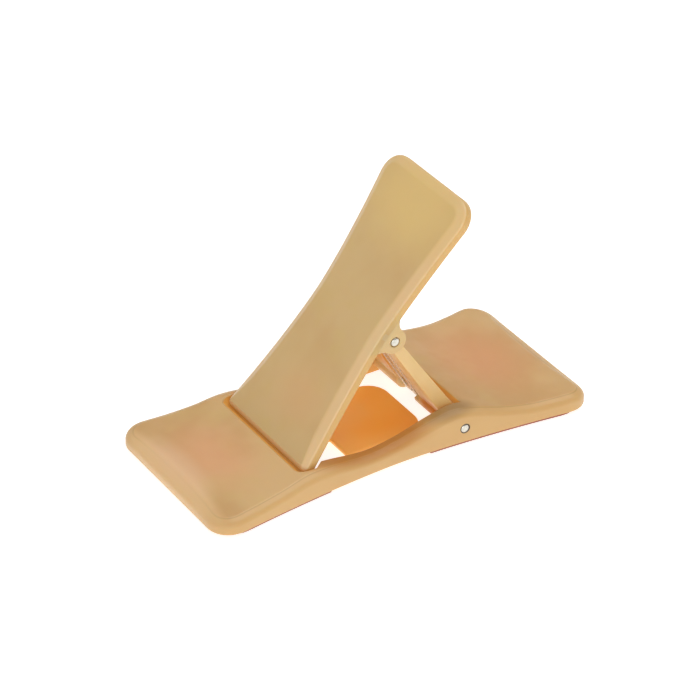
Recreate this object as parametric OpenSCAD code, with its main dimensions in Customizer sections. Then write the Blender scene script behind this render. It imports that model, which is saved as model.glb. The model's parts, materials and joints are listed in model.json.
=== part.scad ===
// Sprung lever hair clip: an arched frame with a window, a lever that stands up out of the
// window and a short link that joins the lever to the frame through two pins.
// +X runs along the clip, +Y across it and +Z up; the origin is on the table under its middle.

/* [Display] */
// Which piece to draw, or all of them

/* [Frame] */
// Overall length of the frame
frame_length = 100; // [90:0.5:110]
// Width of the frame at its two ends, before the corners are rounded
end_width = 48.2; // [40:0.2:54]
// Width of the frame at its waist
waist_width = 38.6; // [34:0.2:44]
// Plan radius of the frame's four corners
corner_radius = 6.5; // [3:0.1:8]
// Height of the frame's underside above the table
underside = 0.8; // [0.4:0.1:1.5]
// Height of the top face at the two ends
end_height = 4.0; // [3:0.1:6]
// Height of the top face in the dished middle of each end plate
dish_height = 4.8; // [3.5:0.1:6]
// Height of the crest at the window's left edge
left_crest = 6.5; // [5:0.1:8]
// Height of the two rails at their lowest
saddle_height = 5.0; // [4:0.1:7]
// Height of the crest over the link pin
right_crest = 9.2; // [7:0.1:11]
// How far the bevel reaches in from the side
bevel_width = 2.1; // [1:0.1:3]
// How far the bevel drops
bevel_drop = 0.7; // [0.3:0.1:1.5]

/* [Window] */
// Right edge of the window along X
window_right = 17.8; // [14:0.1:22]
// Width of the window
window_width = 30.9; // [26:0.1:33]
// Gap between the lever's foot and the window's curved left wall
foot_gap = 0.3; // [0.15:0.05:0.8]
// Height of the shelf under the lever's foot
shelf_height = 3.6; // [3:0.1:3.7]
// Right edge of the shelf along X
shelf_right = -20.6; // [-22:0.1:-20.5]
// Right end of the two pockets beside the shelf, along X
pocket_right = -19.4; // [-20:0.1:-19]

/* [Pins and link] */
// Radius of both pins
pin_radius = 1.06; // [0.8:0.02:1.4]
// Radial running clearance of the link on its pins
pin_clearance = 0.06; // [0.02:0.01:0.1]
// Position of the link pin along X
link_pin_x = 16.4; // [14:0.1:18]
// Height of the link pin
link_pin_z = 4.55; // [4:0.05:6]
// Position of the lever pin along X
lever_pin_x = 1.76; // [0:0.02:4]
// Height of the lever pin
lever_pin_z = 29.13; // [26:0.01:32]
// Width of the link where it sits in the window
link_foot_width = 30.0; // [26:0.1:30.4]
// Width of the link between the lever's lugs
link_head_width = 20.3; // [16:0.1:20.5]
// Radius of the barrel round the link pin
barrel_radius = 2.6; // [2.2:0.05:2.8]
// Radius of the eye round the lever pin
eye_radius = 2.1; // [1.8:0.05:2.3]
// Width of the spring notch in the barrel
notch_width = 7.4; // [5.2:0.1:8]
// How far the notch lies off the middle
notch_shift = 0.9; // [0:0.1:1.2]

/* [Lever] */
// Slope of the lever above the frame, in degrees
lever_angle = 50.5; // [40:0.5:60]
// Length of the lever
lever_length = 70.0; // [60:0.2:76]
// Width of the lever's foot, before its corners are rounded
foot_width = 34.2; // [31:0.1:34.4]
// Plan radius of the foot's two corners
foot_corner = 1.7; // [1:0.1:4]
// Width of the lever at its waist
lever_waist = 26.4; // [22:0.1:29]
// Width of the lever's tip, before its corners are rounded
tip_width = 33.8; // [28:0.1:36]
// Plan radius of the tip's two corners
tip_corner = 6.0; // [3:0.1:8]
// Thickness of the lever
lever_thickness = 3.1; // [2.4:0.1:4]
// How far the lever's bevel reaches in from its side
lever_bevel = 2.2; // [1:0.1:3]
// How far the lever's bevel drops
lever_bevel_drop = 1.0; // [0.3:0.1:1.2]
// Hollow of the lever's front face along its length
lever_bow = 0.6; // [0:0.1:1.2]
// Radius of the two lugs round the lever pin
lug_radius = 3.0; // [2.6:0.1:3.4]
// Thickness of each lug
lug_thickness = 2.8; // [1.8:0.1:3]

/* [Pads and springs] */
// Thickness of the hair-rest tongue
tongue_thickness = 0.9; // [0.6:0.1:1.4]
// Width of the tongue's head
tongue_width = 22.3; // [16:0.1:23]
// Left edge of the tongue's head along X
tongue_left = -9.6; // [-14:0.1:-6]
// Right edge of the tongue's head along X
tongue_right = 12.1; // [8:0.1:12.6]
// Half width of the tongue's tail
tail_half = 3.5; // [2.5:0.1:4]
// How far the liners stand back from the frame's edge
pad_inset = 0.8; // [0.4:0.1:1.2]
// How far the liners stand back from the window
pad_gap = 1.4; // [0.4:0.1:1.6]
// Wire radius of the two springs
wire_radius = 0.24; // [0.15:0.01:0.3]

/* [Hidden] */
plastic = [0.80, 0.65, 0.46];
amber = [0.84, 0.50, 0.20];
liner = [0.86, 0.36, 0.22];
steel = [0.82, 0.82, 0.80];
half = frame_length / 2;
wh = window_width / 2;
top_line = [[-half, end_height], [-44, 4.5], [-38, dish_height], [-31, 5.5], [-25, left_crest],
            [-19, 6.3], [-8, saddle_height], [0, 5.9], [8, 8.0], [14.5, right_crest], [20, 8.3],
            [27, 6.3], [34, dish_height + 0.2], [40, dish_height], [45, 4.8], [half, end_height]];
// the lever's own frame: origin on its front face at the foot, x along it, z out of its front
foot = [-25.0, 6.4];
ca = cos(lever_angle);
sa = sin(lever_angle);
dpx = lever_pin_x - foot[0];
dpz = lever_pin_z - foot[1];
pin_s = dpx * ca + dpz * sa;
pin_n = dpz * ca - dpx * sa;
foot_end = -0.45;
tip_end = foot_end + lever_length;
foot_reach = sqrt(pow(pin_s - foot_end, 2) + pow(pin_n, 2)) + foot_gap;
pocket_half = foot_width / 2 + foot_gap;
pocket_corner = foot_corner + foot_gap;
// the link's own frame: origin on the link pin, z towards the lever pin
lpx = link_pin_x - lever_pin_x;
lpz = lever_pin_z - link_pin_z;
link_length = sqrt(lpx * lpx + lpz * lpz);
link_lean = -atan2(lpx, lpz);

function seg(x, t, i = 0) = (i >= len(t) - 2 || x < t[i + 1][0]) ? i : seg(x, t, i + 1);
function rise(t, i) =
    let (a = max(i - 1, 0), b = min(i + 1, len(t) - 1)) (t[b][1] - t[a][1]) / (t[b][0] - t[a][0]);
function smooth(x, t) =
    let (i = seg(x, t), h = t[i + 1][0] - t[i][0], u = (x - t[i][0]) / h)
    (2 * pow(u, 3) - 3 * u * u + 1) * t[i][1] + (pow(u, 3) - 2 * u * u + u) * rise(t, i) * h
    + (3 * u * u - 2 * pow(u, 3)) * t[i + 1][1] + (pow(u, 3) - u * u) * rise(t, i + 1) * h;
// how far a rounded corner of radius r pulls the side in, at distance d from the end
function pull(d, r) = d >= r ? 0 : r - sqrt(max(0, r * r - pow(r - d, 2)));
function end_steps(r) = [for (a = [0 : 15 : 90]) r * (1 - cos(a))];
// half width of the frame at x, drawn in by g from its side and by 1.75 g from its end
function frame_side(x, g = 0) =
    waist_width / 2 + (end_width - waist_width) / 2 * pow(abs(x) / half, 1.65) - g
    - pull(half - 1.75 * g - abs(x), corner_radius);
// height of the top face at x, t being the place across it from -1 to 1
function frame_top(x, t) =
    let (d = half - abs(x), e = 1.2 + 2.2 * (1 - t * t))
    smooth(x, top_line) - (d < e ? bevel_drop * (1 - d / e) : 0);
function frame_ring(x) =
    let (w = frame_side(x), i = w - bevel_width, s = frame_top(x, 1) - bevel_drop)
    concat([[x, w - 0.3, underside], [x, w, underside + 0.3], [x, w, s]],
           [for (t = [1 : -0.25 : -1]) [x, i * t, frame_top(x, t)]],
           [[x, -w, s], [x, -w, underside + 0.3], [x, 0.3 - w, underside]]);
frame_stations = concat([for (d = end_steps(corner_radius)) d - half],
                        [for (x = [-42 : 2.8 : 42]) x],
                        [for (i = [6 : -1 : 0]) half - end_steps(corner_radius)[i]]);
// half width of the lever at s
function lever_side(s) =
    let (u = 2 * (s - foot_end) / lever_length - 1, w = u < 0 ? foot_width : tip_width)
    lever_waist / 2 + (w - lever_waist) / 2 * pow(abs(u), 1.55)
    - pull(s - foot_end, foot_corner) - pull(tip_end - s, tip_corner);
function lever_sag(s) = -lever_bow * (1 - pow(2 * (s - foot_end) / lever_length - 1, 2));
function lever_ring(s) =
    let (w = lever_side(s), z = lever_sag(s), d = min(s - foot_end, tip_end - s),
         e = d < 1.5 ? 0.8 * (1 - d / 1.5) : 0)
    let (b = lever_bevel, side = z - lever_bevel_drop - e / 2, back = z - lever_thickness)
    [[s, w - 0.4, back], [s, w, back + 0.4], [s, w, side], [s, w - b, z - e], [s, w / 2, z - e],
     [s, 0, z - e], [s, -w / 2, z - e], [s, b - w, z - e], [s, -w, side], [s, -w, back + 0.4],
     [s, 0.4 - w, back]];
lever_middle = lever_length - foot_corner - tip_corner;
lever_stations = concat([for (d = end_steps(foot_corner)) foot_end + d],
                        [for (i = [1 : 20]) foot_end + foot_corner + lever_middle * i / 21],
                        [for (i = [6 : -1 : 0]) tip_end - end_steps(tip_corner)[i]]);
// a wire: one ring of points round each point of its path
function unit(v) = v / norm(v);
function wire_ring(p, i, r) =
    let (t = unit(p[min(i + 1, len(p) - 1)] - p[max(i - 1, 0)]), n = unit(cross(t, [0, 1, 0])),
         b = cross(n, t))
    [for (a = [0 : 45 : 315]) p[i] + r * (cos(a) * n + sin(a) * b)];
// a coil about the Y axis from angle a0 to a1, its wire's centre at radius r
function coil(r, a0, a1, y0, y1) =
    let (n = ceil(abs(a1 - a0) / 22.5))
    [for (i = [0 : n]) let (a = a0 + (a1 - a0) * i / n) [r * cos(a), y0 + (y1 - y0) * i / n, r * sin(a)]];

// closes a run of equal rings into one solid
module skin(rings) {
    n = len(rings[0]);
    m = len(rings);
    polyhedron(
        points = [for (r = rings) each r],
        faces = concat(
            [[for (j = [0 : n - 1]) j]],
            [[for (j = [n - 1 : -1 : 0]) (m - 1) * n + j]],
            [for (i = [0 : m - 2], j = [0 : n - 1])
                [i * n + j, (i + 1) * n + j, (i + 1) * n + (j + 1) % n]],
            [for (i = [0 : m - 2], j = [0 : n - 1])
                [i * n + j, (i + 1) * n + (j + 1) % n, i * n + (j + 1) % n]]),
        convexity = 8);
}
module wire(path) {
    skin([for (i = [0 : len(path) - 1]) wire_ring(path, i, wire_radius)]);
}
// a prism seen from the front: its polygon lies in X and Z, and it is w wide about y = 0
module across(w) {
    rotate([90, 0, 0]) linear_extrude(height = w, center = true) children();
}
module rod(r, w) {
    rotate([90, 0, 0]) cylinder(r = r, h = w, center = true, $fn = 48);
}
module in_link() {
    translate([link_pin_x, 0, link_pin_z]) rotate([0, link_lean, 0]) children();
}
module in_lever() {
    translate([foot[0], 0, foot[1]]) rotate([0, -lever_angle, 0]) children();
}
// the room that the lever's foot swings in: a wheel about the lever pin, its rims rounded
module foot_room() {
    r = pocket_corner;
    h = pocket_half;
    translate([lever_pin_x, 0, lever_pin_z]) rotate([90, 0, 0]) rotate_extrude($fn = 240)
        polygon(concat(
            [[0, -h]],
            [for (a = [-90 : 15 : 0]) [foot_reach - r + r * cos(a), r - h + r * sin(a)]],
            [for (a = [0 : 15 : 90]) [foot_reach - r + r * cos(a), h - r + r * sin(a)]],
            [[0, h]]));
}
// plan of the frame between x0 and x1, drawn in by g from its edge
module frame_plan(x0, x1, g) {
    xs = [for (x = frame_stations) if (x > x0 && x < x1) x];
    all = concat([x0], xs, [x1]);
    polygon(concat([for (x = all) [x, -frame_side(x, g)]],
                   [for (i = [len(all) - 1 : -1 : 0]) [all[i], frame_side(all[i], g)]]));
}

module base_frame() {
    color(plastic)
    difference() {
        skin([for (x = frame_stations) frame_ring(x)]);
        // the window, and left of it the room for the lever's foot above its shelf
        across(window_width) polygon([
            [shelf_right, 16], [shelf_right, -1], [link_pin_x + 3.1, -1], [link_pin_x + 3.1, link_pin_z],
            [window_right, link_pin_z], [window_right, 16]]);
        intersection() {
            foot_room();
            translate([pocket_right - 20, -pocket_half - 1, shelf_height])
                cube([20, 2 * pocket_half + 2, 12]);
        }
        // room for the barrel to turn in
        translate([link_pin_x, 0, link_pin_z]) rod(barrel_radius + 0.4, window_width);
        // bores of the link pin
        translate([link_pin_x, 0, link_pin_z]) rod(pin_radius + 0.01, 60);
        // slot of the link spring's middle loop
        translate([link_pin_x + 2, -1.1, -1]) cube([8, 2.2, 5.1]);
        // seat of the tongue's tail
        translate([-36.1, -tail_half - 0.1, 0])
            cube([16, 2 * tail_half + 0.2, underside + tongue_thickness + 0.02]);
    }
}

module left_grip_pad() {
    color(liner)
    linear_extrude(height = underside)
    difference() {
        frame_plan(1.75 * pad_inset - half, -19, pad_inset);
        translate([-24.5, -wh - pad_gap]) square([30, window_width + 2 * pad_gap]);
    }
}

module right_grip_pad() {
    color(liner)
    linear_extrude(height = underside)
    difference() {
        frame_plan(8, half - 1.75 * pad_inset, pad_inset);
        translate([-5, -wh - pad_gap]) square([link_pin_x + 3.6 + 5, window_width + 2 * pad_gap]);
    }
}

module hair_rest_tongue() {
    r = 5.4;
    color(amber)
    translate([0, 0, underside])
    linear_extrude(height = tongue_thickness)
    polygon(concat(
        [[-36, -tail_half], [tongue_left, -tail_half]],
        [for (a = [180 : 15 : 270]) [tongue_left + 1 + cos(a), 1 - tongue_width / 2 + sin(a)]],
        [for (a = [270 : 10 : 360]) [tongue_right - r + r * cos(a), r - tongue_width / 2 + r * sin(a)]],
        [for (a = [0 : 10 : 90]) [tongue_right - r + r * cos(a), tongue_width / 2 - r + r * sin(a)]],
        [for (a = [90 : 15 : 180]) [tongue_left + 1 + cos(a), tongue_width / 2 - 1 + sin(a)]],
        [[tongue_left, tail_half], [-36, tail_half]]));
}

module link() {
    hf = link_foot_width / 2;
    hh = link_head_width / 2;
    L = link_length;
    color(plastic)
    in_link()
    difference() {
        intersection() {
            union() {
                across(32) polygon([[-1.6, 0], [-1.25, L], [1.25, L], [2.0, 0]]);
                rod(barrel_radius, 32);
                translate([0, 0, L]) rod(eye_radius, 32);
            }
            // front outline: wide in the window, narrow between the lever's lugs
            rotate([90, 0, 90]) linear_extrude(height = 12, center = true)
                polygon([[-hf, -4], [hf, -4], [hf, 3.7], [hh, L - 4.6], [hh, L + 4],
                         [-hh, L + 4], [-hh, L - 4.6], [-hf, 3.7]]);
        }
        // channel down the left face for the springs' legs
        translate([-4, 0, 0]) rotate([90, 0, 90]) linear_extrude(height = 3.2)
            polygon([[-4.6, 1], [4.6, 1], [4.6, L], [-4.6, L]]);
        // notches for the two coils
        translate([0, notch_shift, -2.0]) cube([12, notch_width, 8.4], center = true);
        translate([0, 0, L + 2.0]) cube([12, 7.6, 8.4], center = true);
        rod(pin_radius + pin_clearance, 40);
        translate([0, 0, L]) rod(pin_radius + pin_clearance, 40);
    }
}

module link_pin() {
    w = 2 * frame_side(link_pin_x) + 0.3;
    color(steel)
    translate([link_pin_x, 0, link_pin_z]) rotate([90, 0, 0])
    rotate_extrude($fn = 48)
        polygon([[0, -w / 2], [pin_radius * 0.55, 0.08 - w / 2], [pin_radius, 0.3 - w / 2],
                 [pin_radius, w / 2 - 0.3], [pin_radius * 0.55, w / 2 - 0.08], [0, w / 2]]);
}

module lever_pin() {
    w = lever_waist + 0.3;
    color(steel)
    translate([lever_pin_x, 0, lever_pin_z]) rotate([90, 0, 0])
    rotate_extrude($fn = 48)
        polygon([[0, -w / 2], [pin_radius * 0.55, 0.08 - w / 2], [pin_radius, 0.3 - w / 2],
                 [pin_radius, w / 2 - 0.3], [pin_radius * 0.55, w / 2 - 0.08], [0, w / 2]]);
}

// a point u along the link from a pin and v out of its right face
function on_link(u, v, y) =
    [v * cos(link_lean) + u * sin(link_lean), y, u * cos(link_lean) - v * sin(link_lean)];
// a point u along the lever from its pin and v towards its underside
function on_lever(u, v, y) = [u * ca - v * sa, y, u * sa + v * ca];

// double torsion spring: two legs up the link, two coils, and a middle loop in the frame
module link_spring() {
    r = 1.35;
    y0 = -2.3;
    y1 = -0.6;
    side = concat(
        [for (u = [18, 9, 1]) on_link(u, 0.015 * u - r, y0)],
        coil(r, 180 - link_lean, 270 + 360 * 3, y0, y1),
        [[1, y1, -r], [5, y1, -r], [8.8, y1, -r], [9.3, y1 / 2, -r]]);
    n = len(side);
    color(steel)
    translate([link_pin_x, 0, link_pin_z])
    wire(concat(side, [for (i = [n - 1 : -1 : 0]) [side[i][0], -side[i][1], side[i][2]]]));
}

module lever_spring() {
    r = 1.55;
    color(steel)
    translate([lever_pin_x, 0, lever_pin_z])
    wire(concat(
        [for (u = [-8, -4.5, -1.2]) on_link(u, -0.03 * u - r, 2.9)],
        coil(r, 180 - link_lean, 90 + lever_angle - 360 * 9, 2.9, -2.9),
        [for (u = [1.2, 7, 13]) on_lever(u, r + 0.05 * u, -2.9)]));
}

module lever() {
    color(plastic)
    difference() {
        in_lever() {
            skin([for (s = lever_stations) lever_ring(s)]);
            for (y = [-1, 1]) translate([0, y * (lever_waist / 2 - lug_thickness / 2), 0]) {
                translate([pin_s, 0, pin_n]) rod(lug_radius, lug_thickness);
                across(lug_thickness) polygon([
                    [pin_s - 5.0, -2.4], [pin_s - 4.4, -3.8], [pin_s - 2.9, pin_n - 0.8],
                    [pin_s + 2.9, pin_n - 0.8], [pin_s + 3.4, -4.9], [pin_s + 4.6, -3.7],
                    [pin_s + 6.6, -2.4]]);
            }
        }
        translate([lever_pin_x, 0, lever_pin_z]) rod(pin_radius + 0.01, 60);
    }
}

base_frame();
left_grip_pad();
right_grip_pad();
hair_rest_tongue();
link();
link_pin();
link_spring();
lever();
lever_pin();
lever_spring();
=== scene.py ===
"""Sprung lever hair clip: its pieces, materials, light and camera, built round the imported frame.

Lengths in the code are millimetres in the frame's own axes, and MM turns them into metres.
"""

import json
from math import atan2, ceil, cos, hypot, pi, radians, sin, sqrt

import bmesh
import bpy
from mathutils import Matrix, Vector


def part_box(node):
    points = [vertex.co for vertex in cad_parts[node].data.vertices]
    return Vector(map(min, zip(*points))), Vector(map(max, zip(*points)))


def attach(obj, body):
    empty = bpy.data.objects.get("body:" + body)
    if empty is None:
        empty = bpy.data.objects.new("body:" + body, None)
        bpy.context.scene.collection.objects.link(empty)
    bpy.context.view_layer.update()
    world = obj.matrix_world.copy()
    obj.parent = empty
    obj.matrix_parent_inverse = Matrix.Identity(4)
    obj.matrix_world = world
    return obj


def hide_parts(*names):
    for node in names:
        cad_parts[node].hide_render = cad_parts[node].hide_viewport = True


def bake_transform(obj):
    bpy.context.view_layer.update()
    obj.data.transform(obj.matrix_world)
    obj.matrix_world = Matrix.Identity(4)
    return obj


MM = 0.001
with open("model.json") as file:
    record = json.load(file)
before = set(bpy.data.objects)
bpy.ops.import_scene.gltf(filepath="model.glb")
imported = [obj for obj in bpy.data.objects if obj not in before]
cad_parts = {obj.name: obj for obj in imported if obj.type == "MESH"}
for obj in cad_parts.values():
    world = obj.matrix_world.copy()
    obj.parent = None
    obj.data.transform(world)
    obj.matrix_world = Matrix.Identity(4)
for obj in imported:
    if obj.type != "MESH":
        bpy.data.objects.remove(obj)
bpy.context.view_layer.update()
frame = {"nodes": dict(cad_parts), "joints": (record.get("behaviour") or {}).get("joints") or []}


# ---- places and sizes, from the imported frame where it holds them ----

def joint_centre(name):
    """Place of a joint's axis in X and Z, in mm."""
    joint = next(j for j in frame["joints"] if j["name"] == name)
    return joint["pos_m"][0] / MM, joint["pos_m"][2] / MM


def node_box(node):
    """Lowest and highest corner of a CAD node, in mm."""
    return [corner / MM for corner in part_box(node)]


LINK_PIN = joint_centre("link_hinge")
LEVER_PIN = joint_centre("lever_hinge")
PIN_RADIUS = (node_box("link_pin")[1].z - node_box("link_pin")[0].z) / 2
UNDERSIDE = node_box("left_grip_pad")[1].z
HALF_LENGTH = node_box("base_frame")[1].x

# frame
WAIST_WIDTH = 38.6
END_WIDTH = 48.2
CORNER_RADIUS = 6.5
TOP_LINE = [
    (-50, 4.0), (-44, 4.5), (-38, 4.8), (-31, 5.5), (-25, 6.5), (-19, 6.3), (-8, 5.0), (0, 5.9),
    (8, 8.0), (14.5, 9.2), (20, 8.3), (27, 6.3), (34, 5.0), (40, 4.8), (45, 4.8), (50, 4.0),
]
BEVEL_WIDTH = 2.1
END_BEVEL_EXTRA = 1.3
BEVEL_DROP = 0.9
# window
WINDOW_HALF = 15.45
WINDOW_RIGHT = 17.8
SHELF_HEIGHT = 3.6
SHELF_RIGHT = -20.6
BARREL_ROOM = 3.0
POCKET_TAPER = (-21.6, -19.3)
FOOT_WALL_X = -25.5
FOOT_WALL_TOP = 6.4
WALL_STEPS = 12
# lever, in its own frame: s along it from its foot, v across it, n out of its front face
FOOT = (-25.0, 6.4)
LEVER_ANGLE = radians(50.5)
LEVER_START = -0.45
LEVER_LENGTH = 70.0
FOOT_WIDTH = 34.2
FOOT_CORNER = 1.7
FOOT_GAP = 0.3
LEVER_WAIST = 26.4
TIP_WIDTH = 33.8
TIP_CORNER = 6.0
LEVER_THICKNESS = 3.1
LEVER_BOW = 0.6
LEVER_BEVEL = 2.4
FOOT_BEVEL = 1.15
LEVER_BEVEL_DROP = 1.0
LUG_RADIUS = 3.0
LUG_THICKNESS = 2.8
# springs
WIRE_RADIUS = 0.24
LINK_COIL_TURNS = 3
LEVER_COIL_TURNS = 9
# camera, in metres
CAMERA_PLACE = (-0.3411, -0.5381, 0.4371)
CAMERA_TARGET = (0.0023, 0.0066, 0.0160)
CAMERA_LENS = 173.0

LEVER_END = LEVER_START + LEVER_LENGTH
CA, SA = cos(LEVER_ANGLE), sin(LEVER_ANGLE)
PIN_S = (LEVER_PIN[0] - FOOT[0]) * CA + (LEVER_PIN[1] - FOOT[1]) * SA
PIN_N = (LEVER_PIN[1] - FOOT[1]) * CA - (LEVER_PIN[0] - FOOT[0]) * SA
FOOT_REACH = hypot(PIN_S - LEVER_START, PIN_N) + FOOT_GAP
POCKET_HALF = FOOT_WIDTH / 2 + FOOT_GAP
POCKET_CORNER = FOOT_CORNER + FOOT_GAP
LINK_LEAN = -atan2(LINK_PIN[0] - LEVER_PIN[0], LEVER_PIN[1] - LINK_PIN[1])


# ---- small geometry helpers ----

def lerp(a, b, u):
    return a + (b - a) * u


def smooth_line(x, points):
    """Height at x of a smooth curve through the points."""
    i = 0
    while i < len(points) - 2 and x >= points[i + 1][0]:
        i += 1

    def rise(k):
        a, b = points[max(k - 1, 0)], points[min(k + 1, len(points) - 1)]
        return (b[1] - a[1]) / (b[0] - a[0])

    (x0, z0), (x1, z1) = points[i], points[i + 1]
    h = x1 - x0
    u = (x - x0) / h
    return (
        (2 * u**3 - 3 * u * u + 1) * z0 + (u**3 - 2 * u * u + u) * rise(i) * h
        + (3 * u * u - 2 * u**3) * z1 + (u**3 - u * u) * rise(i + 1) * h
    )


def pull(d, r):
    """How far a rounded corner of radius r pulls the side in, at distance d from the end."""
    return 0 if d >= r else r - sqrt(max(0, r * r - (r - d) ** 2))


def ramp(v, soft=0.05):
    """1 - v down to 0 at v = 1, with the kink at 1 rounded."""
    if v < 1 - soft:
        return 1 - v
    if v > 1 + soft:
        return 0
    return (1 - v + soft) ** 2 / (4 * soft)


def arc_steps(r, n):
    """Depths from 0 to r that walk evenly round a fillet of radius r."""
    return [r * (1 - cos(pi / 2 * i / n)) for i in range(n + 1)]


def resample(points, n):
    """n + 1 points at equal distances along an open line."""
    run = [0]
    for a, b in zip(points, points[1:]):
        run.append(run[-1] + hypot(b[0] - a[0], b[1] - a[1]))
    out, k = [], 0
    for i in range(n + 1):
        at = run[-1] * i / n
        while k < len(points) - 2 and run[k + 1] < at:
            k += 1
        u = (at - run[k]) / max(run[k + 1] - run[k], 1e-9)
        a, b = points[k], points[k + 1]
        out.append((lerp(a[0], b[0], u), lerp(a[1], b[1], u)))
    return out


def inward(loop):
    """Unit normals to the left of a closed loop's direction."""
    out = []
    for i in range(len(loop)):
        a, b = loop[i - 1], loop[(i + 1) % len(loop)]
        dx, dy = b[0] - a[0], b[1] - a[1]
        size = hypot(dx, dy)
        out.append((-dy / size, dx / size))
    return out


def in_lever(s, v, n):
    return FOOT[0] + s * CA - n * SA, v, FOOT[1] + s * SA + n * CA


# ---- meshes ----

def new_object(name, bm, sharp=35):
    bmesh.ops.remove_doubles(bm, verts=bm.verts, dist=0.002 * MM)
    bmesh.ops.dissolve_degenerate(bm, edges=bm.edges, dist=0.001 * MM)
    bmesh.ops.recalc_face_normals(bm, faces=bm.faces)
    mesh = bpy.data.meshes.new(name)
    bm.to_mesh(mesh)
    bm.free()
    obj = bpy.data.objects.new(name, mesh)
    bpy.context.scene.collection.objects.link(obj)
    smooth(obj, sharp)
    return obj


def smooth(obj, sharp=35):
    obj.data.polygons.foreach_set("use_smooth", [True] * len(obj.data.polygons))
    obj.data.set_sharp_from_angle(angle=radians(sharp))


def skin(bm, loops, wrap=False, caps=False, marks=None):
    """Quads between equal closed loops; wrap joins the last to the first, caps closes both ends.

    marks gives each loop's value of the "edge" attribute: 0 on faces, 1 on bevels, 2 on walls.
    """
    edge = bm.verts.layers.float.get("edge") or bm.verts.layers.float.new("edge")
    rows = [[bm.verts.new(Vector(p) * MM) for p in loop] for loop in loops]
    for row, mark in zip(rows, marks or []):
        for vert in row:
            vert[edge] = mark
    for a, b in zip(rows, rows[1:] + ([rows[0]] if wrap else [])):
        for i in range(len(a)):
            j = (i + 1) % len(a)
            bm.faces.new((a[i], a[j], b[j], b[i]))
    if caps:
        bm.faces.new(rows[0][::-1])
        bm.faces.new(rows[-1])


def tube(bm, path, radius, sides=12):
    """A round wire along a path, with rounded ends."""
    path = [Vector(p) for p in path]
    normal = Vector((0, 1, 0)).cross(path[1] - path[0]).normalized()
    loops = []
    last = len(path) - 1
    for i, p in enumerate(path):
        along = (path[min(i + 1, last)] - path[max(i - 1, 0)]).normalized()
        normal = (normal - along * normal.dot(along)).normalized()
        side = along.cross(normal)
        turn = [2 * pi * k / sides for k in range(sides)]
        ring = [normal * cos(a) + side * sin(a) for a in turn]
        steps = [(radius, 0)]
        if i == 0:
            steps = [(radius * 0.5, -0.85 * radius), (radius * 0.87, -0.5 * radius), (radius, 0)]
        if i == last:
            steps = [(radius, 0), (radius * 0.87, 0.5 * radius), (radius * 0.5, 0.85 * radius)]
        for r, shift in steps:
            loops.append([p + along * shift + q * r for q in ring])
    skin(bm, loops, caps=True)


# ---- frame ----

def frame_side(x):
    flare = (END_WIDTH - WAIST_WIDTH) / 2 * abs(x / HALF_LENGTH) ** 1.65
    return WAIST_WIDTH / 2 + flare - pull(HALF_LENGTH - abs(x), CORNER_RADIUS)


RAIL_POINTS = 60
POCKET_POINTS = 16
PLATE_POINTS = 132
RAIL_LEFT = -25.0


def side_run(left, right):
    """X of the points along one side of the window, closer together beside the foot's pocket."""
    long_part = RAIL_POINTS - POCKET_POINTS
    middle = POCKET_TAPER[1]
    return [lerp(left, middle, i / POCKET_POINTS) for i in range(POCKET_POINTS)] + [
        lerp(middle, right, i / long_part) for i in range(long_part)
    ]


def end_outline(x0, sign):
    """Outline round one end plate, from x0 on one side to x0 on the other."""
    xs = [sign * (HALF_LENGTH - d) for d in reversed(arc_steps(CORNER_RADIUS, 16))]
    run = [lerp(x0, xs[0], i / 24) for i in range(24)] + xs
    line = [(x, -frame_side(x)) for x in run] + [(x, frame_side(x)) for x in reversed(run)]
    if sign < 0:
        line.reverse()
    return resample(line, PLATE_POINTS)


def frame_outline():
    rail = side_run(RAIL_LEFT, WINDOW_RIGHT) + [WINDOW_RIGHT]
    near = [(x, -frame_side(x)) for x in rail]
    far = [(x, frame_side(x)) for x in reversed(rail)]
    right_end = end_outline(WINDOW_RIGHT, 1)
    left_end = end_outline(RAIL_LEFT, -1)
    return near[:-1] + right_end[:-1] + far[:-1] + left_end[:-1]


def foot_wall(y, z, grow):
    """X of the window's left wall, struck about the lever pin, with its corners rounded."""
    reach = FOOT_REACH + grow - pull(POCKET_HALF + grow - abs(y), POCKET_CORNER + grow)
    return LEVER_PIN[0] - sqrt(reach**2 - (LEVER_PIN[1] - z) ** 2)


def pocket_side(x):
    """Half width of the window at its top, with the foot's pocket at the left."""
    left, right = POCKET_TAPER
    return lerp(POCKET_HALF, WINDOW_HALF, max(0, min(1, (x - left) / (right - left))))


def window_plan(left, right, half):
    """Loop round the window; left(y) and right give X at its two ends, half(x) its half width."""
    wide = half(-HALF_LENGTH)
    run = side_run(left(wide), right)
    across = [sin(pi / 2 * (2 * i / PLATE_POINTS - 1)) for i in range(PLATE_POINTS)]
    near = [(x, -half(x)) for x in run]
    far = [(x, half(x)) for x in (run[1:] + [right])[::-1]]
    return (
        near + [(right, half(right) * t) for t in across]
        + far + [(left(wide * t), -wide * t) for t in across]
    )


def top_height(x):
    return smooth_line(max(-HALF_LENGTH, min(HALF_LENGTH, x)), TOP_LINE)


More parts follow.
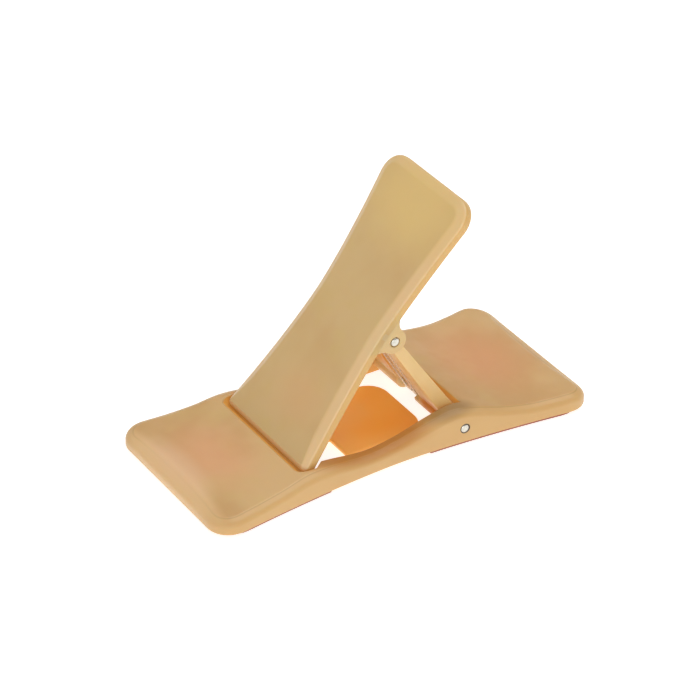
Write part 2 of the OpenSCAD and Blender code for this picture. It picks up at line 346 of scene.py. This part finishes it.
def wall_loops(edge):
    """Loops down the window's walls, from the rounded top edge to the underside."""
    top_right = top_height(WINDOW_RIGHT) - edge
    room_top = LINK_PIN[1] + sqrt(BARREL_ROOM**2 - (WINDOW_RIGHT - LINK_PIN[0]) ** 2)
    far_end = 2 * RAIL_POINTS + PLATE_POINTS

    def left_z(j, x):
        if j <= 4:
            return lerp(top_height(x) - edge, SHELF_HEIGHT, j / 4)
        return lerp(SHELF_HEIGHT, UNDERSIDE, max(0, (j - 6) / (WALL_STEPS - 6)))

    def right_at(j):
        if j <= 2:
            return WINDOW_RIGHT, lerp(top_right, room_top, j / 2)
        if j <= 8:
            z = lerp(room_top, LINK_PIN[1], (j - 2) / 6)
            return LINK_PIN[0] + sqrt(BARREL_ROOM**2 - (z - LINK_PIN[1]) ** 2), z
        z = lerp(LINK_PIN[1], UNDERSIDE, (j - 8) / (WALL_STEPS - 8))
        return LINK_PIN[0] + BARREL_ROOM + 0.1, z

    loops = []
    for j in range(1, WALL_STEPS + 1):
        right, right_z = right_at(j)
        wall_z = left_z(min(j, 4), FOOT_WALL_X)
        high = window_plan(lambda y: foot_wall(y, wall_z, 0), right, pocket_side)
        low = window_plan(lambda y: SHELF_RIGHT, right, lambda x: WINDOW_HALF)
        u = max(0, min(1, (j - 4) / 2))
        loop = []
        for k, (p, q) in enumerate(zip(high, low)):
            x, y = lerp(p[0], q[0], u), lerp(p[1], q[1], u)
            if RAIL_POINTS <= k < RAIL_POINTS + PLATE_POINTS:
                z = right_z
            elif k < POCKET_POINTS or k >= far_end - POCKET_POINTS:
                z = left_z(j, p[0])
            else:
                z = lerp(top_height(x) - edge, UNDERSIDE, j / WALL_STEPS)
            loop.append((x, y, z))
        loops.append(loop)
    return loops


def make_frame():
    outline = frame_outline()
    normals = inward(outline)
    foot_r, rim_r, edge_r = 0.35, 0.95, 0.4
    straight = HALF_LENGTH - 0.01
    flat = frame_side(HALF_LENGTH)
    bevel = [
        BEVEL_WIDTH + (END_BEVEL_EXTRA * max(0, 1 - (y / flat) ** 2) if abs(x) > straight else 0)
        for x, y in outline
    ]

    def at(k, d):
        return outline[k][0] + normals[k][0] * d, outline[k][1] + normals[k][1] * d

    def window_top(grow):
        return window_plan(
            lambda y: foot_wall(y, FOOT_WALL_TOP, grow),
            WINDOW_RIGHT + grow,
            lambda x: pocket_side(x) + grow,
        )

    def ring(depth, height):
        loop = []
        for k in range(len(outline)):
            d = depth(k)
            x, y = at(k, d)
            loop.append((x, y, height(k, x, d)))
        return loop

    def top(k, x, d):
        return top_height(x) - BEVEL_DROP * ramp(d / bevel[k]) - pull(d, rim_r)

    loops = [
        ring(lambda k: d, lambda k, x, _: UNDERSIDE + pull(d, foot_r))
        for d in reversed(arc_steps(foot_r, 4))
    ]
    low = UNDERSIDE + foot_r
    loops += [ring(lambda k: 0, lambda k, x, d: lerp(low, top(k, x, 0), u)) for u in (0.33, 0.67)]
    loops += [ring(lambda k: d, top) for d in arc_steps(rim_r, 7)]
    loops += [ring(lambda k: lerp(rim_r, bevel[k] * 1.15, i / 9), top) for i in range(1, 10)]
    inner = [(x, y) for x, y, z in loops[-1]]
    crest = window_top(edge_r)
    for i in range(1, 17):
        plan = [(lerp(p[0], q[0], i / 16), lerp(p[1], q[1], i / 16)) for p, q in zip(inner, crest)]
        loops.append([(x, y, top_height(x)) for x, y in plan])
    for e in list(reversed(arc_steps(edge_r, 4)))[1:]:
        loops.append([(x, y, top_height(x) - pull(e, edge_r)) for x, y in window_top(e)])
    # marks: where frame_plastic paints light and shade on the bevels and shade and glow on the
    # walls
    marks = [1] * 18 + [0.8, 0.55, 0.3] + [0] * 19 + [0.6, 1.2, 1.6, 2]
    loops += wall_loops(edge_r)
    bm = bmesh.new()
    skin(bm, loops, wrap=True, marks=marks + [2] * WALL_STEPS)
    return new_object("clip_frame", bm)


# ---- lever ----

def lever_side(s):
    u = 2 * (s - LEVER_START) / LEVER_LENGTH - 1
    width = FOOT_WIDTH if u < 0 else TIP_WIDTH
    corners = pull(s - LEVER_START, FOOT_CORNER) + pull(LEVER_END - s, TIP_CORNER)
    return LEVER_WAIST / 2 + (width - LEVER_WAIST) / 2 * abs(u) ** 1.55 - corners


def lever_front(s):
    """How far the hollow front face lies below the lever's straight line."""
    u = 2 * (s - LEVER_START) / LEVER_LENGTH - 1
    return -LEVER_BOW * (1 - min(1, abs(u)) ** 2)


def lever_outline():
    run = [LEVER_START + d for d in arc_steps(FOOT_CORNER, 16)]
    run += [lerp(run[-1], LEVER_END - TIP_CORNER, i / 60) for i in range(1, 60)]
    run += [LEVER_END - d for d in reversed(arc_steps(TIP_CORNER, 16))]
    half = [(s, -lever_side(s)) for s in run]
    line = half + [(s, -v) for s, v in reversed(half)] + half[:1]
    return resample(line, 320)[:-1]


def make_lever_plate(bm):
    outline = lever_outline()
    normals = inward(outline)
    back_r, rim_r = 0.45, 0.5
    middle = (LEVER_START + LEVER_END) / 2
    spine_share = 1 - 18 / LEVER_LENGTH
    spine = [(lerp(middle, s, spine_share), 0) for s, v in outline]
    bevel = [
        lerp(FOOT_BEVEL, LEVER_BEVEL, max(0, min(1, (s - LEVER_START) / 9))) for s, v in outline
    ]

    def ring(d_of, height):
        loop = []
        for k, ((s, v), (a, b)) in enumerate(zip(outline, normals)):
            d = d_of(k)
            s, v = s + a * d, v + b * d
            loop.append(in_lever(s, v, height(k, s, d)))
        return loop

    def blend(d_of, u, drop):
        loop = []
        for k, ((s, v), (a, b)) in enumerate(zip(outline, normals)):
            s, v = lerp(s + a * d_of(k), spine[k][0], u), lerp(v + b * d_of(k), 0, u)
            loop.append(in_lever(s, v, lever_front(s) - drop))
        return loop

    def front(k, s, d):
        return lever_front(s) - LEVER_BEVEL_DROP * ramp(d / bevel[k]) - pull(d, rim_r)

    loops = [blend(lambda k: back_r, u, LEVER_THICKNESS) for u in (1, 0.8, 0.6, 0.4, 0.2)]
    loops += [
        ring(lambda k: d, lambda k, s, _: lever_front(s) - LEVER_THICKNESS + pull(d, back_r))
        for d in reversed(arc_steps(back_r, 4))
    ]
    loops += [ring(lambda k: d, front) for d in arc_steps(rim_r, 5)]
    loops += [ring(lambda k: lerp(rim_r, bevel[k] * 1.15, i / 8), front) for i in range(1, 9)]
    # marks: where lever_plastic paints light and shade on the bevels and shade and glow on the side
    # walls
    marks = [0] * 5 + [1, 1.5, 2, 2, 2] + [2, 2, 1.4, 1, 1, 1] + [1] * 4 + [0.75, 0.5, 0.25, 0]
    loops += [blend(lambda k: bevel[k] * 1.15, i / 10, 0) for i in range(1, 11)]
    skin(bm, loops, marks=marks + [0] * 10)


def lug_outline():
    """Side view of a lug round the lever pin, in s and n, from its root on the tip's side."""
    arc = [radians(a) for a in range(-14, -167, -8)]
    round_end = [(PIN_S + LUG_RADIUS * cos(a), PIN_N + LUG_RADIUS * sin(a)) for a in arc]
    root_right = [
        (PIN_S + 7.2, -2.2), (PIN_S + 5.6, -3.3), (PIN_S + 4.2, -4.3), (PIN_S + 3.35, -5.3),
    ]
    root_left = [(PIN_S - 3.35, -5.0), (PIN_S - 4.3, -3.5), (PIN_S - 5.2, -1.9)]
    line = root_right + round_end + root_left
    line = line + line[:1]
    return resample(line, 96)[:-1]


def make_lug(bm, sign):
    outline = lug_outline()
    normals = inward(outline)
    # the outline runs clockwise seen in s and n, so its inside is to its right
    normals = [(-a, -b) for a, b in normals]
    inner_y = LEVER_WAIST / 2 - LUG_THICKNESS
    outer_y = LEVER_WAIST / 2 + 0.012
    fillet = [0.35 * max(0, min(1, (-3.2 - n) / 1.2)) for s, n in outline]
    angle = [atan2(n - PIN_N, s - PIN_S) for s, n in outline]

    def rim(u, y):
        """u runs from 0 on the side wall to 1 on the flat face."""
        loop = []
        for (s, n), (a, b), r in zip(outline, normals, fillet):
            d = r * (1 - cos(pi / 2 * u))
            drop = r * (1 - sin(pi / 2 * u))
            v = y - drop if y == outer_y else y + drop
            loop.append(in_lever(s + a * d, sign * v, n + b * d))
        return loop

    def bore(r, y):
        return [in_lever(PIN_S + r * cos(t), sign * y, PIN_N + r * sin(t)) for t in angle]

    loops = [rim(u, inner_y) for u in (1, 0.67, 0.33, 0)]
    loops += [rim(u, outer_y) for u in (0, 0.25, 0.5, 0.75, 1)]
    loops += [bore(r, outer_y) for r in (1.75, 1.45)]
    loops += [bore(PIN_RADIUS + 0.22, outer_y - 0.1), bore(PIN_RADIUS + 0.2, outer_y - 0.5)]
    loops += [bore(PIN_RADIUS, outer_y - 0.55), bore(PIN_RADIUS, inner_y)]
    skin(bm, loops, wrap=True)


def make_lever():
    bm = bmesh.new()
    make_lever_plate(bm)
    for sign in (-1, 1):
        make_lug(bm, sign)
    return new_object("clip_lever", bm)


# ---- pins, springs, tongue ----

def make_pin(name, centre, half_width):
    """A steel pin along Y with low domed ends."""
    dome, sides = 0.3, 48
    profile = [(0.02 * PIN_RADIUS, half_width)]
    for i in range(1, 9):
        a = pi / 2 * i / 8
        profile.append((PIN_RADIUS * sin(a), half_width - dome * (1 - cos(a)) ** 1.5))
    profile += [(r, -y) for r, y in reversed(profile)]
    turn = [2 * pi * k / sides for k in range(sides)]
    loops = [
        [(centre[0] + r * cos(a), y, centre[1] + r * sin(a)) for a in turn]
        for r, y in profile
    ]
    bm = bmesh.new()
    skin(bm, loops, caps=True)
    return new_object(name, bm, 50)


def coil(centre, r, a0, a1, y0, y1):
    """Points of a coil about the Y axis through the centre, angles from +X towards +Z."""
    n = ceil(abs(a1 - a0) / (2 * pi) * 24)
    out = []
    for i in range(n + 1):
        a = lerp(a0, a1, i / n)
        out.append((centre[0] + r * cos(a), lerp(y0, y1, i / n), centre[1] + r * sin(a)))
    return out


def along_link(centre, u, v, y):
    """A point u along the link towards the lever pin and v out of its right face."""
    c, s = cos(LINK_LEAN), sin(LINK_LEAN)
    return centre[0] + v * c + u * s, y, centre[1] - v * s + u * c


def make_link_spring(name, side):
    """One half of the double spring on the link pin: a leg, a coil and half the loop."""
    r, outer, inner = 1.35, 2.3 * side, 0.6 * side
    x, z = LINK_PIN
    path = [along_link(LINK_PIN, u, 0.015 * u - r, outer) for u in (18, 14, 10, 6, 3, 1)]
    end = 1.5 * pi + 2 * pi * LINK_COIL_TURNS
    path += coil(LINK_PIN, r, pi - LINK_LEAN, end, outer, inner)
    loop = ((1, 0.6), (4, 0.6), (8.6, 0.6), (9.1, 0.45), (9.3, 0))
    path += [(x + u, y * side, z - r) for u, y in loop]
    bm = bmesh.new()
    tube(bm, path, WIRE_RADIUS)
    return new_object(name, bm, 60)


def make_lever_spring():
    r, far, near = 1.55, 2.9, -2.9
    x, z = LEVER_PIN
    path = [along_link(LEVER_PIN, u, -0.03 * u - r, far) for u in (-8, -4.5, -1.2)]
    end = pi / 2 + LEVER_ANGLE - 2 * pi * LEVER_COIL_TURNS
    path += coil(LEVER_PIN, r, pi - LINK_LEAN, end, far, near)
    for u in (1.2, 4, 7, 10, 13):
        v = r + 0.05 * u
        path.append((x + u * CA - v * SA, near, z + u * SA + v * CA))
    bm = bmesh.new()
    tube(bm, path, WIRE_RADIUS)
    return new_object("head_spring", bm, 60)


def make_tongue():
    low, high = node_box("hair_rest_tongue")
    left, right, width, r = -9.6, high.x, high.y, 5.4
    neck, tail = 3.5, low.x

    def corner(cx, cy, radius, a0, a1, n):
        arc = [radians(lerp(a0, a1, i / n)) for i in range(n + 1)]
        return [(cx + radius * cos(a), cy + radius * sin(a)) for a in arc]

    line = [(tail, -neck), (left, -neck)]
    line += corner(left + 1, 1 - width, 1, 180, 270, 6)
    line += corner(right - r, r - width, r, 270, 360, 14)
    line += corner(right - r, width - r, r, 0, 90, 14)
    line += corner(left + 1, width - 1, 1, 90, 180, 6)
    line += [(left, neck), (tail, neck)]
    outline = resample(line + line[:1], 240)[:-1]
    normals = inward(outline)
    r_top, r_low = 0.4, 0.15
    z_low, z_high = low.z - 0.02, high.z

    def ring(d, z):
        return [(x + a * d, y + b * d, z) for (x, y), (a, b) in zip(outline, normals)]

    loops = [ring(d, z_low + pull(d, r_low)) for d in reversed(arc_steps(r_low, 2))]
    loops += [ring(d, z_high - pull(d, r_top)) for d in arc_steps(r_top, 5)]
    bm = bmesh.new()
    skin(bm, loops, caps=True)
    return new_object("tongue", bm)


# ---- materials ----

def srgb(r, g, b):
    """Linear colour from 8-bit display values."""
    return [((c / 255 + 0.055) / 1.055) ** 2.4 for c in (r, g, b)] + [1]


class Shader:
    """A node material with one Principled shader."""

    def __init__(self, name):
        self.mat = bpy.data.materials.new(name)
        self.mat.use_nodes = True
        self.tree = self.mat.node_tree
        self.bsdf = next(n for n in self.tree.nodes if n.type == "BSDF_PRINCIPLED")
        self.place = self.add("ShaderNodeTexCoord").outputs["Object"]

    def add(self, kind, **values):
        node = self.tree.nodes.new(kind)
        for key, value in values.items():
            setattr(node, key, value)
        return node

    def link(self, source, target):
        self.tree.links.new(source, target)

    def set(self, **values):
        for key, value in values.items():
            self.bsdf.inputs[key.replace("_", " ")].default_value = value

    def noise(self, scale, detail=3, rough=0.5):
        node = self.add("ShaderNodeTexNoise")
        node.inputs["Scale"].default_value = scale
        node.inputs["Detail"].default_value = detail
        node.inputs["Roughness"].default_value = rough
        self.link(self.place, node.inputs["Vector"])
        return node.outputs["Fac"]

    def spread(self, source, low, high, to_low=0.0, to_high=1.0):
        node = self.add("ShaderNodeMapRange", interpolation_type="SMOOTHSTEP")
        values = {"From Min": low, "From Max": high, "To Min": to_low, "To Max": to_high}
        for key, value in values.items():
            node.inputs[key].default_value = value
        self.link(source, node.inputs["Value"])
        return node.outputs["Result"]

    def maths(self, operation, a, b):
        node = self.add("ShaderNodeMath", operation=operation)
        for socket, value in zip(node.inputs, (a, b)):
            if isinstance(value, (int, float)):
                socket.default_value = value
            else:
                self.link(value, socket)
        return node.outputs[0]

    def blob(self, centre, size, inner=0.35):
        """1 inside an ellipsoid, falling to 0 at its surface; centre and size in mm."""
        mapping = self.add("ShaderNodeMapping", vector_type="TEXTURE")
        mapping.inputs["Location"].default_value = [c * MM for c in centre]
        mapping.inputs["Scale"].default_value = [c * MM for c in size]
        self.link(self.place, mapping.inputs["Vector"])
        length = self.add("ShaderNodeVectorMath", operation="LENGTH")
        self.link(mapping.outputs["Vector"], length.inputs[0])
        return self.spread(length.outputs["Value"], inner, 1.0, 1.0, 0.0)

    def around(self, centre, radius, soft):
        """1 within a radius of an axis along Y through the centre, in mm."""
        mapping = self.add("ShaderNodeMapping", vector_type="TEXTURE")
        mapping.inputs["Location"].default_value = (centre[0] * MM, 0, centre[1] * MM)
        mapping.inputs["Scale"].default_value = (MM, 1000, MM)
        self.link(self.place, mapping.inputs["Vector"])
        length = self.add("ShaderNodeVectorMath", operation="LENGTH")
        self.link(mapping.outputs["Vector"], length.inputs[0])
        return self.spread(length.outputs["Value"], radius - soft, radius, 1.0, 0.0)

    def mix(self, base, other, factor):
        node = self.add("ShaderNodeMix", data_type="RGBA")
        for name, value in (("A", base), ("B", other)):
            socket = [s for s in node.inputs if s.name == name and s.type == "RGBA"][0]
            if isinstance(value, list):
                socket.default_value = value
            else:
                self.link(value, socket)
        self.link(factor, node.inputs["Factor"])
        return [s for s in node.outputs if s.type == "RGBA"][0]

    def colour(self, source):
        self.link(source, self.bsdf.inputs["Base Color"])

    def bump(self, source, strength, distance):
        node = self.add("ShaderNodeBump")
        node.inputs["Strength"].default_value = strength
        node.inputs["Distance"].default_value = distance
        self.link(source, node.inputs["Height"])
        self.link(node.outputs["Normal"], self.bsdf.inputs["Normal"])


def caramel(name, base, deep, edges, glow, painted_light_patches=(), crease=0, bore=None):
    """Satin, slightly translucent caramel plastic.

    edges is its colour on bevels and on walls, painted light and shade on the bevels and painted
    shade on the walls; glow is the strength of painted glow (emission) on faces and on walls,
    standing in for light coming through; the patches of painted highlight, reflection and shade
    come as (colour, share, place, size, inner); crease is the share of the painted shade line where
    a bevel meets its face, and bore is the axis of a pin with a painted shadow ring round it.
    """
    m = Shader(name)
    colour = m.mix(base, deep, m.spread(m.noise(42, 3, 0.6), 0.35, 0.65, 0.0, 0.8))
    colour = m.mix(colour, srgb(206, 176, 112), m.spread(m.noise(110, 2), 0.5, 0.7, 0.0, 0.4))
    mark = m.add("ShaderNodeAttribute", attribute_name="edge").outputs["Fac"]
    # bevels and walls take edges[0]: painted light and shade on the edges
    colour = m.mix(colour, edges[0], m.spread(mark, 0.0, 1.0, 0, 0.8))
    # a darker line where a bevel meets its face: painted shade in the crease
    line = m.maths("MULTIPLY", m.spread(mark, 0.1, 0.5), m.spread(mark, 0.5, 0.9, crease, 0.0))
    colour = m.mix(colour, srgb(176, 140, 78), line)
    # patches of painted highlight, painted reflection and painted shade
    for patch_colour, share, place, size, inner in painted_light_patches:
        colour = m.mix(colour, patch_colour, m.maths("MULTIPLY", m.blob(place, size, inner), share))
    # walls take edges[1]: painted shade and glow on the walls
    colour = m.mix(colour, edges[1], m.spread(mark, 1.0, 1.9))
    # painted glow: the colour is also emitted, most on the walls, standing in for light coming
    # through
    m.link(colour, m.bsdf.inputs["Emission Color"])
    m.link(m.spread(mark, 1.2, 2.0, *glow), m.bsdf.inputs["Emission Strength"])
    # a dark ring round the pin: painted shadow of the gap round it
    if bore:
        colour = m.mix(colour, srgb(58, 42, 28), m.around(bore, PIN_RADIUS + 0.26, 0.12))
    m.colour(colour)
    m.link(m.spread(m.noise(420, 4), 0.3, 0.7, 0.34, 0.44), m.bsdf.inputs["Roughness"])
    m.bump(m.noise(1500, 3, 0.6), 0.12, 0.02 * MM)
    m.set(Subsurface_Weight=0.25, Subsurface_Radius=(1.0, 0.55, 0.22), Subsurface_Scale=2.2 * MM)
    m.set(Specular_IOR_Level=0.45, IOR=1.5)
    return m.mat


def amber():
    m = Shader("amber_plastic")
    cloud = m.spread(m.noise(60, 2), 0.35, 0.7, 0.0, 0.5)
    # bright saturated orange: painted glow of light coming up through the thin tongue in the
    # lever's shade
    colour = m.mix(srgb(240, 190, 98), srgb(234, 170, 70), cloud)
    # lighter round its rim: painted highlight on its edge
    rim = m.maths("SUBTRACT", 1, m.blob((3, 1, 1), (15, 13, 10), 0.5))
    colour = m.mix(colour, srgb(238, 190, 108), rim)
    m.colour(colour)
    m.link(m.spread(m.noise(500, 3), 0.3, 0.7, 0.3, 0.42), m.bsdf.inputs["Roughness"])
    m.bump(m.noise(1300, 3, 0.6), 0.12, 0.02 * MM)
    m.set(Subsurface_Weight=0.3, Subsurface_Radius=(1.0, 0.5, 0.15), Subsurface_Scale=2.0 * MM)
    # painted glow: emission standing in for light coming through
    m.set(Emission_Color=srgb(222, 136, 44), Emission_Strength=0.2)
    return m.mat


def liner():
    m = Shader("liner_rubber")
    grain = m.noise(900, 5, 0.65)
    m.colour(m.mix(srgb(168, 84, 58), srgb(142, 64, 46), m.spread(grain, 0.3, 0.7)))
    m.bump(grain, 0.4, 0.06 * MM)
    m.set(Roughness=0.7)
    return m.mat


def steel(name, brushed, light, dark, metallic):
    m = Shader(name)
    stretch = m.add("ShaderNodeMapping")
    stretch.inputs["Scale"].default_value = brushed
    m.link(m.place, stretch.inputs["Vector"])
    m.place = stretch.outputs["Vector"]
    grain = m.noise(2600, 3, 0.6)
    m.colour(m.mix(light, dark, m.spread(grain, 0.35, 0.75)))
    m.link(m.spread(grain, 0.3, 0.7, 0.2, 0.34), m.bsdf.inputs["Roughness"])
    m.bump(grain, 0.15, 0.01 * MM)
    m.set(Metallic=metallic)
    return m.mat


def paint(obj, material):
    obj.data.materials.clear()
    obj.data.materials.append(material)


# ---- pieces on their bodies ----

def place(obj, body, nodes, slot, material):
    paint(obj, material)
    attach(obj, body)
    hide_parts(*nodes)


# painted reflection: peach patches on the tops of the end plates
PEACH_REFLECTION = srgb(224, 156, 114)
# painted shade on the rails beside the window
PAINTED_RAIL_SHADE = srgb(188, 122, 44)
# painted shade on the raised crest of the rails
PAINTED_CREST_SHADE = srgb(156, 120, 68)
frame_plastic = caramel(
    "frame_plastic", srgb(212, 174, 120), srgb(198, 154, 98),
    # bevel and wall colours and glow strengths: painted light, shade and glow
    (srgb(204, 164, 106), srgb(202, 146, 70)), (0.03, 0.26),
    (
        # lighter band at the left end: painted highlight
        (srgb(230, 192, 142), 0.7, (-49, 0, 4), (5, 26, 5), 0.5),
        # peach patch on the left plate: painted reflection
        (PEACH_REFLECTION, 0.5, (-38, 1, 5), (13, 20, 12), 0.1),
        # lighter patch near the left end: painted highlight
        (srgb(230, 190, 150), 0.5, (-45.5, 2, 5), (5, 18, 8), 0.2),
        # peach patch on the right plate: painted reflection
        (PEACH_REFLECTION, 0.5, (34, 2, 5), (18, 22, 12), 0.1),
        # amber along both rails: painted shade
        (PAINTED_RAIL_SHADE, 0.8, (-6, -17.0, 6.5), (22, 4.5, 4.5), 0.4),
        (PAINTED_RAIL_SHADE, 0.7, (-6, 17.0, 6.5), (22, 4.5, 4.5), 0.4),
        # darker on the crests: painted shade
        (PAINTED_CREST_SHADE, 0.8, (13.5, -17.0, 9.5), (10, 4.5, 4), 0.3),
        (PAINTED_CREST_SHADE, 0.8, (13.5, 17.0, 9.5), (10, 4.5, 4), 0.3),
    ),
    0.6, LINK_PIN,
)
lever_plastic = caramel(
    "lever_plastic", srgb(208, 176, 122), srgb(202, 164, 110),
    # lighter bevels, walls and a faint glow: painted highlight, shade and glow
    (srgb(222, 188, 140), srgb(206, 166, 102)), (0.03, 0.06),
    (
        # lighter towards the tip: painted highlight
        (srgb(222, 190, 122), 0.8, (16, 0, 54), (16, 24, 18), 0.2),
        # warm patch low on the lever: painted highlight
        (srgb(216, 170, 118), 0.5, (-17, -3, 16), (12, 14, 10), 0.1),
    ),
)
link_plastic = caramel(
    "link_plastic", srgb(214, 182, 126), srgb(200, 160, 98),
    # lighter bevels, amber walls and glow: painted highlight, shade and glow of light coming
    # through
    (srgb(226, 190, 134), srgb(214, 168, 100)), (0.14, 0.14),
    (
        # amber on the far side of the link's foot: painted glow of light coming through under the
        # lever
        (srgb(214, 148, 60), 0.75, (9.5, 7, 10), (5, 6, 18), 0.4),
        # brown on the near side of the link's foot: painted shade
        (srgb(190, 112, 36), 0.8, (14, -10, 5), (3, 5.5, 4.5), 0.5),
    ),
)
pin_steel = steel("pin_steel", (1, 0.1, 1), [0.7, 0.68, 0.6, 1], [0.52, 0.5, 0.44, 1], 1.0)
# warm peach tint on the spring wire: painted reflection of the caramel plastic round it
wire_steel = steel("wire_steel", (1, 1, 1), [0.86, 0.78, 0.66, 1], [0.7, 0.62, 0.5, 1], 0.45)

place(make_frame(), "frame", ["base_frame"], "caramel_plastic", frame_plastic)
place(make_tongue(), "frame", ["hair_rest_tongue"], "amber_plastic", amber())
place(make_lever(), "lever", ["lever"], "caramel_plastic", lever_plastic)
link_half = node_box("link_pin")[1].y
place(make_pin("foot_pin", LINK_PIN, link_half), "frame", ["link_pin"], "steel", pin_steel)
lever_half = node_box("lever_pin")[1].y
place(make_pin("head_pin", LEVER_PIN, lever_half), "lever", ["lever_pin"], "steel", pin_steel)

for spring, node, bodies, start in (
    (make_link_spring("foot_spring_near", -1), "link_spring", ("frame", "link"), (-0.6, -2.3)),
    (make_link_spring("foot_spring_far", 1), "link_spring", ("frame", "link"), (0.6, 2.3)),
    (make_lever_spring(), "lever_spring", ("link", "lever"), (2.9, -2.9)),
):
    paint(spring, wire_steel)
    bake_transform(spring)
    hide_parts(node)

liner_rubber = liner()
for node in ("left_grip_pad", "right_grip_pad"):
    paint(frame["nodes"][node], liner_rubber)


def soften(obj, width):
    """Small rounded edges on a CAD node."""
    weld = obj.modifiers.new("weld", "WELD")
    weld.merge_threshold = 0.002 * MM
    bevel = obj.modifiers.new("edges", "BEVEL")
    bevel.width = width * MM
    bevel.segments = 3
    bevel.limit_method = "ANGLE"
    bevel.angle_limit = radians(40)
    bevel.harden_normals = False
    smooth(obj, 40)


link = frame["nodes"]["link"]
paint(link, link_plastic)
soften(link, 0.25)


# ---- floor, light and camera ----

def make_floor():
    mesh = bpy.data.meshes.new("floor")
    half = 6.0
    corners = [(-half, -half, 0), (half, -half, 0), (half, half, 0), (-half, half, 0)]
    mesh.from_pydata(corners, [], [(0, 1, 2, 3)])
    floor = bpy.data.objects.new("floor", mesh)
    bpy.context.scene.collection.objects.link(floor)
    m = Shader("floor_white")
    m.set(Base_Color=(0.6, 0.6, 0.6, 1), Roughness=0.9, Specular_IOR_Level=0.1)
    m.set(Emission_Color=(1, 1, 1, 1), Emission_Strength=0.75)
    paint(floor, m.mat)


def aim(obj, place, target):
    obj.location = place
    obj.rotation_mode = "QUATERNION"
    obj.rotation_quaternion = (Vector(target) - Vector(place)).to_track_quat("-Z", "Y")


def make_light(name, place, size, power):
    light = bpy.data.lights.new(name, "AREA")
    light.size = size
    light.energy = power
    obj = bpy.data.objects.new(name, light)
    bpy.context.scene.collection.objects.link(obj)
    aim(obj, place, (0, 0, 0.02))


def make_camera():
    camera = bpy.data.cameras.new("camera")
    camera.lens = CAMERA_LENS
    camera.sensor_width = 36.0
    obj = bpy.data.objects.new("camera", camera)
    bpy.context.scene.collection.objects.link(obj)
    aim(obj, CAMERA_PLACE, CAMERA_TARGET)
    bpy.context.scene.camera = obj


def make_world():
    world = bpy.data.worlds.new("studio")
    world.use_nodes = True
    background = next(n for n in world.node_tree.nodes if n.type == "BACKGROUND")
    background.inputs["Color"].default_value = (1, 1, 1, 1)
    background.inputs["Strength"].default_value = 0.45
    bpy.context.scene.world = world


make_floor()
make_light("front_softbox", (-0.5, -0.9, 0.4), 0.8, 3.7)
make_light("top_softbox", (0.3, 0.1, 1.1), 0.9, 6.0)
make_camera()
make_world()
bpy.context.scene.view_settings.view_transform = "Standard"
